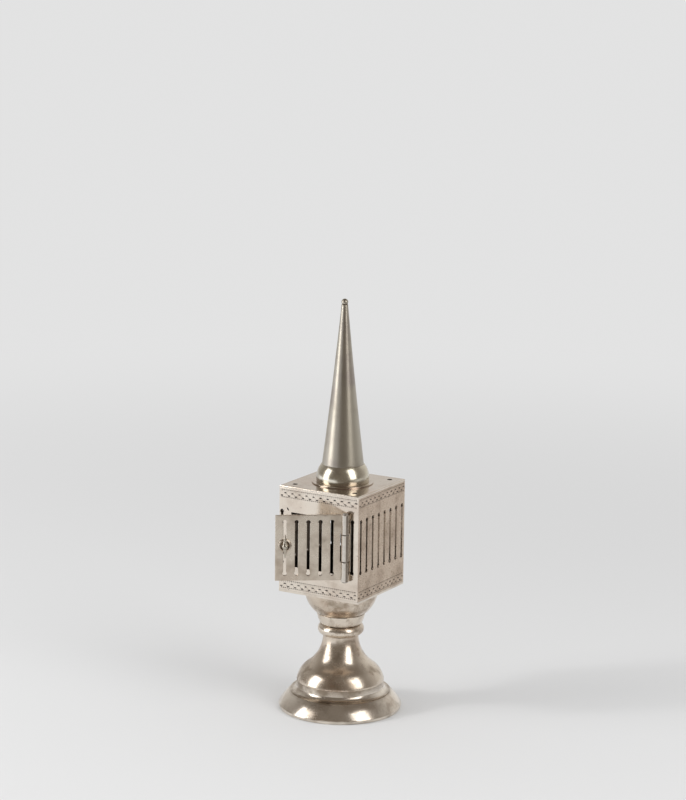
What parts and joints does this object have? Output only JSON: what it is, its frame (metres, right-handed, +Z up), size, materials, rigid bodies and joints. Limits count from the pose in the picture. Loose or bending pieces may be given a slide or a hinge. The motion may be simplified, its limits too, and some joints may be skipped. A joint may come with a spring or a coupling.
{
  "type": "spice tower",
  "caption": "Besamim spice tower: a pierced square box with a hinged door and turn catch, on a turned foot and under a tapering spire.",
  "frame": {"origin": "middle of the foot, on the surface that the tower stands on", "axes": "+Z up along the spire, the door on the -Y side with its hinge towards +X"},
  "size_m": [0.0444, 0.0539, 0.1493],
  "materials": {
    "foot_silver": "spun silver, polished, with tarnish in the hollows and fine scratches",
    "box_silver": "rolled silver sheet, softly polished, with engraved border bands",
    "door_silver": "rolled silver sheet, duller than the box",
    "catch_silver": "cast and turned silver, polished by use",
    "spire_silver": "drawn silver, polished, slightly yellow",
    "steel": "plain drawn metal rods, nuts and washers"
  },
  "bodies": {
    "tower": {"foot_rim": "foot_silver", "foot_moulding": "foot_silver", "foot_bell": "foot_silver", "stem_knop": "foot_silver", "stem_collar": "foot_silver", "calyx_cup": "foot_silver", "floor_plate": "box_silver", "front_wall": "box_silver", "right_wall": "box_silver", "back_wall": "box_silver", "left_wall": "box_silver", "top_plate": "box_silver", "hinge_box_knuckle": "door_silver", "spire_flange": "spire_silver", "spire_base": "spire_silver", "spire_cone": "spire_silver", "spire_finial": "spire_silver", "stem_rod": "steel", "stem_lower_washer": "steel", "stem_lower_nut": "steel", "stem_upper_washer": "steel", "stem_upper_nut": "steel", "spire_stud": "steel", "spire_washer": "steel", "spire_nut": "steel", "hinge_pin": "steel"},
    "door": {"door_panel": "door_silver", "door_lower_knuckle": "door_silver", "door_upper_knuckle": "door_silver", "latch_rosette": "catch_silver", "latch_washer": "steel"},
    "latch": {"latch_knob": "catch_silver", "latch_tongue": "steel"}
  },
  "joints": [
    {"name": "door_hinge", "type": "hinge", "parent": "tower", "child": "door", "pos_m": [0.0119, -0.01785, 0.0646], "axis": [0, 0, 1], "range_deg": [-35, 135]},
    {"name": "latch_turn", "type": "hinge", "parent": "door", "child": "latch", "pos_m": [-0.00613, -0.02876, 0.0656], "axis": [-0.5736, 0.8192, 0], "range_deg": [0, 90]}
  ]
}
